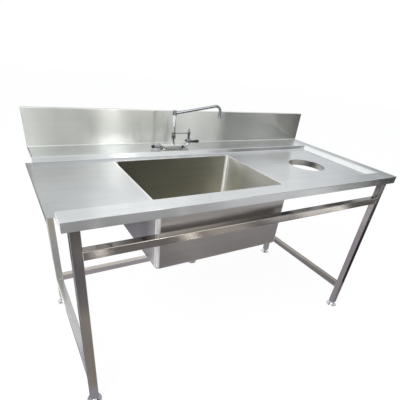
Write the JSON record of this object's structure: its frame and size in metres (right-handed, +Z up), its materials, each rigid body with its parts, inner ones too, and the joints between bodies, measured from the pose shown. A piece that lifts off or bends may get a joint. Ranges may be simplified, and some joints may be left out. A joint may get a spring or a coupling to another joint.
{
  "type": "commercial sink table",
  "caption": "Stainless commercial sink table with a recessed top, one deep bowl, a round scrap hole, a rear splash, a tube frame on screw feet and a deck tap with a swing spout.",
  "frame": {"origin": "on the floor under the middle of the outline", "axes": "+X to the right along the length, +Y to the back, +Z up"},
  "size_m": [1.5, 0.7, 1.01],
  "materials": {
    "top_steel": "fine-grained satin sheet",
    "splash_steel": "fine-grained satin sheet",
    "bowl_steel": "satin sheet with ground welds",
    "tube_steel": "drawn tube with a soft gloss",
    "foot_steel": "turned and polished",
    "tap_chrome": "polished chrome plate",
    "black_plastic": "moulded black",
    "plug_plastic": "moulded dark grey",
    "seal_rubber": "moulded black rubber",
    "valve_brass": "turned brass"
  },
  "bodies": {
    "table": {"worktop": "top_steel", "backsplash": "splash_steel", "sink_bowl": "bowl_steel", "scrap_collar": "bowl_steel", "top_stiffeners": "tube_steel", "leg_plates": "tube_steel", "leg_front_left": "tube_steel", "leg_front_right": "tube_steel", "leg_rear_left": "tube_steel", "leg_rear_right": "tube_steel", "front_rail": "tube_steel", "rear_rail": "tube_steel", "side_rail_left": "tube_steel", "side_rail_right": "tube_steel", "foot_inserts": "plug_plastic", "waste_flange": "foot_steel", "waste_seal": "seal_rubber", "waste_nut": "tap_chrome", "waste_slip_nut": "tap_chrome", "waste_tailpiece": "tap_chrome", "tap_base_plate": "tap_chrome", "tap_body": "tap_chrome", "tap_shanks": "valve_brass", "tap_washers": "seal_rubber", "tap_back_nuts": "valve_brass", "tap_riser": "tap_chrome", "tap_union_nut": "tap_chrome", "spout_cap": "tap_chrome", "hot_cartridge": "valve_brass", "cold_cartridge": "valve_brass", "valve_post": "tap_chrome", "valve_end_cap": "black_plastic", "post_nipple": "tap_chrome", "cross_link": "tap_chrome"},
    "spout_arm": {"spout": "tap_chrome", "spout_seals": "seal_rubber", "spout_nozzle": "tap_chrome"},
    "hot_valve": {"hot_spindle": "valve_brass", "hot_handle": "tap_chrome", "hot_handle_cap": "black_plastic"},
    "cold_lever": {"lever_hub": "tap_chrome", "lever_grip": "black_plastic"},
    "stop_valve": {"stop_knob": "black_plastic"},
    "basket": {"strainer_basket": "foot_steel", "basket_knob": "foot_steel"},
    "screw_foot_front_left": {"foot_front_left": "foot_steel"},
    "screw_foot_front_right": {"foot_front_right": "foot_steel"},
    "screw_foot_rear_left": {"foot_rear_left": "foot_steel"},
    "screw_foot_rear_right": {"foot_rear_right": "foot_steel"}
  },
  "joints": [
    {"name": "spout_swing", "type": "hinge", "parent": "table", "child": "spout_arm", "pos_m": [-0.143, 0.216, 0.9558], "axis": [0, 0, 1], "range_deg": [-150, 40]},
    {"name": "hot_valve_turn", "type": "hinge", "parent": "table", "child": "hot_valve", "pos_m": [-0.196, 0.216, 0.817], "axis": [1, 0, 0], "range_deg": [0, 90]},
    {"name": "cold_lever_turn", "type": "hinge", "parent": "table", "child": "cold_lever", "pos_m": [-0.066, 0.2037, 0.839], "axis": [0, -1, 0], "range_deg": [0, 90]},
    {"name": "stop_valve_turn", "type": "hinge", "parent": "table", "child": "stop_valve", "pos_m": [-0.104, 0.2022, 0.817], "axis": [0, 1, 0], "range_deg": [0, 90]},
    {"name": "basket_lift", "type": "slide", "parent": "table", "child": "basket", "axis": [0, 0, 1], "range_m": [0, 0.06]},
    {"name": "foot_screw_front_left", "type": "slide", "parent": "table", "child": "screw_foot_front_left", "axis": [0, 0, 1], "range_m": [-0.02, 0]},
    {"name": "foot_screw_front_right", "type": "slide", "parent": "table", "child": "screw_foot_front_right", "axis": [0, 0, 1], "range_m": [-0.02, 0]},
    {"name": "foot_screw_rear_left", "type": "slide", "parent": "table", "child": "screw_foot_rear_left", "axis": [0, 0, 1], "range_m": [-0.02, 0]},
    {"name": "foot_screw_rear_right", "type": "slide", "parent": "table", "child": "screw_foot_rear_right", "axis": [0, 0, 1], "range_m": [-0.02, 0]}
  ]
}
